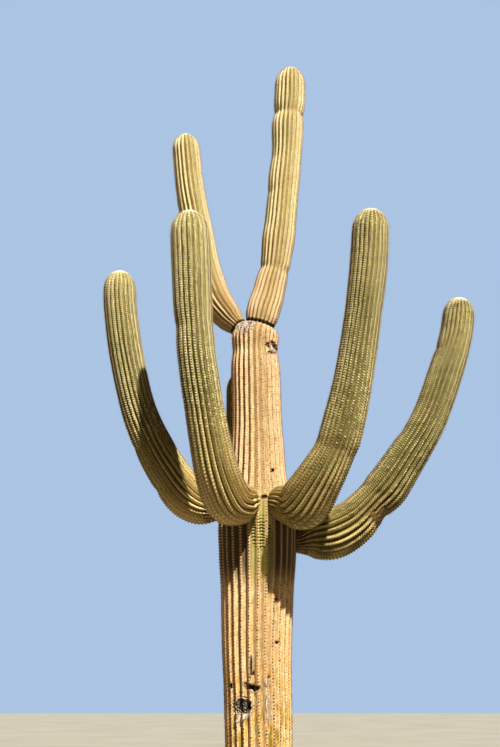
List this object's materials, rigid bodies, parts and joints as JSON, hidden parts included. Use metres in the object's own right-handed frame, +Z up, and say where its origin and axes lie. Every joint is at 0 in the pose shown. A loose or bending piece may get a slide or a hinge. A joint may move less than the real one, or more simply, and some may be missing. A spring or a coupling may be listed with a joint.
{
  "type": "saguaro cactus",
  "caption": "Mature saguaro cactus with a stout ribbed trunk, hanging arms that turn up, a short arm behind and a leader standing on the blunt trunk top.",
  "frame": {"origin": "centre of the flat cut at ground level under the trunk", "axes": "+Z up the trunk, +Y away from the picture's view, +X to its right; the two front arms reach towards -Y"},
  "size_m": [3.418, 1.7837, 7.474],
  "materials": {
    "trunk_skin": "matt, waxy ribbed skin with rows of spine pads",
    "arm_skin": "matt, waxy ribbed skin with rows of spine pads",
    "leader_skin": "matt, waxy ribbed skin with rows of spine pads"
  },
  "bodies": {
    "root": {"trunk": "trunk_skin", "outer_left_elbow": "arm_skin", "outer_left_upright": "arm_skin", "front_left_elbow": "arm_skin", "front_left_upright": "arm_skin", "front_right_elbow": "arm_skin", "front_right_upright": "arm_skin", "outer_right_elbow": "arm_skin", "outer_right_upright": "arm_skin", "upper_left_elbow": "leader_skin", "upper_left_upright": "leader_skin", "back_elbow": "arm_skin", "back_upright": "arm_skin", "leader": "leader_skin"}
  },
  "joints": []
}
